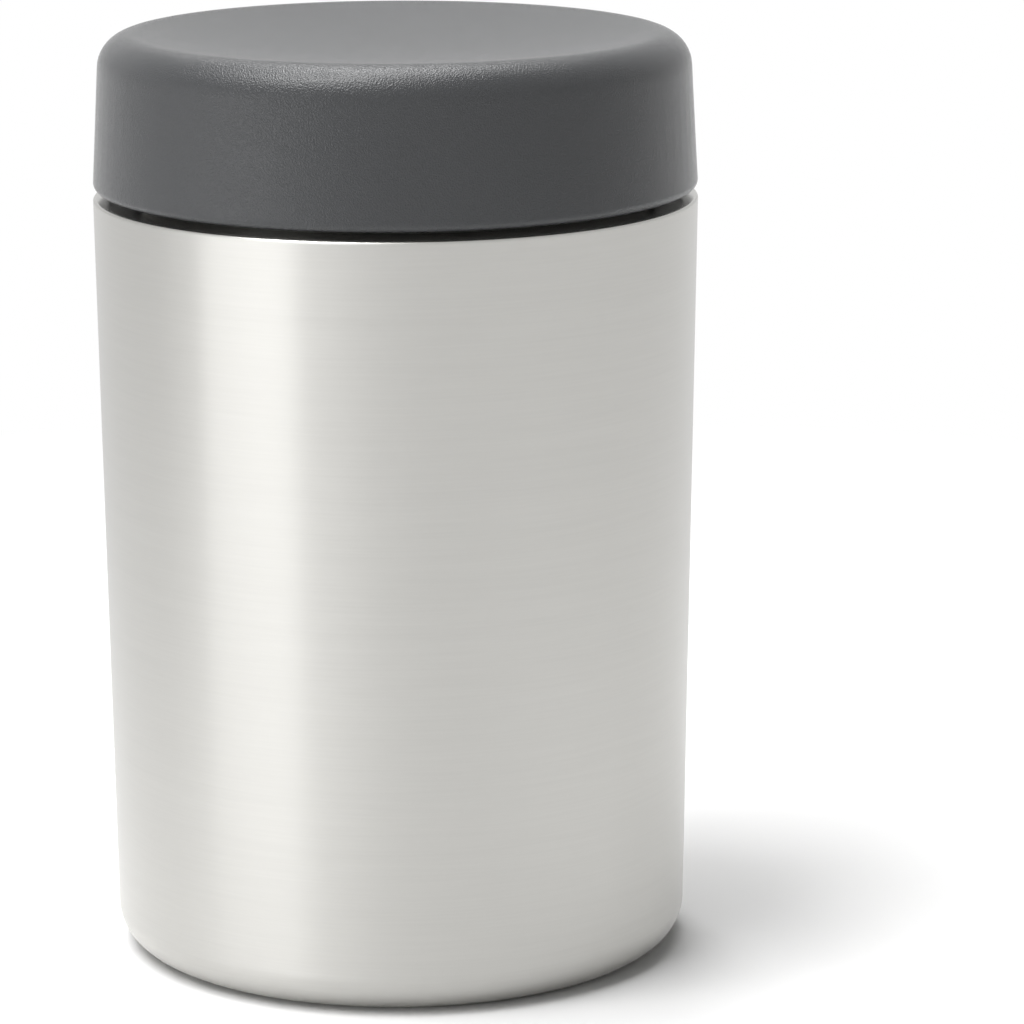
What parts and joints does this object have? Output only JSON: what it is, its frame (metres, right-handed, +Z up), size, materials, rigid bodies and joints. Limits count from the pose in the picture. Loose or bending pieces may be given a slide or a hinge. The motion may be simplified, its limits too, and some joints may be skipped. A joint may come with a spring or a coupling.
{
  "type": "insulated food jar",
  "caption": "Round double-walled steel food jar, slightly tapered, with a screw-on plastic lid, threaded neck, sealing ring and recessed base.",
  "frame": {"origin": "centre of the foot ring, on the ground", "axes": "+Z up along the jar's axis; the jar is round, so +X and +Y are free"},
  "size_m": [0.092, 0.092, 0.1418],
  "materials": {
    "shell_steel": "satin",
    "liner_steel": "satin",
    "base_steel": "satin",
    "tray_steel": "satin",
    "foil": "gloss",
    "solder": "matte",
    "getter": "matte",
    "cover_plastic": "matte",
    "cap_plastic": "satin",
    "silicone": "matte",
    "foam": "matte"
  },
  "bodies": {
    "jar": {"outer_shell": "shell_steel", "liner_tube": "liner_steel", "liner_bottom": "liner_steel", "radiation_shield": "foil", "vacuum_base": "base_steel", "port_seal": "solder", "getter_holder": "tray_steel", "getter_pellet": "getter", "outer_base": "base_steel"},
    "seal": {"lid_gasket": "silicone"},
    "lid": {"lid_cover": "cover_plastic", "lid_inner_cap": "cap_plastic", "lid_foam": "foam"}
  },
  "joints": [
    {"name": "lid_lift", "type": "slide", "parent": "jar", "child": "seal", "axis": [0, 0, 1], "range_m": [0, 0.024]},
    {"name": "lid_turn", "type": "hinge", "parent": "seal", "child": "lid", "pos_m": [0, 0, 0.1318], "axis": [0, 0, 1], "range_deg": [0, 1080]}
  ],
  "couplings": [
    {"joint": "lid_lift", "follows": "lid_turn", "m_per_rad": 0.0012732}
  ]
}
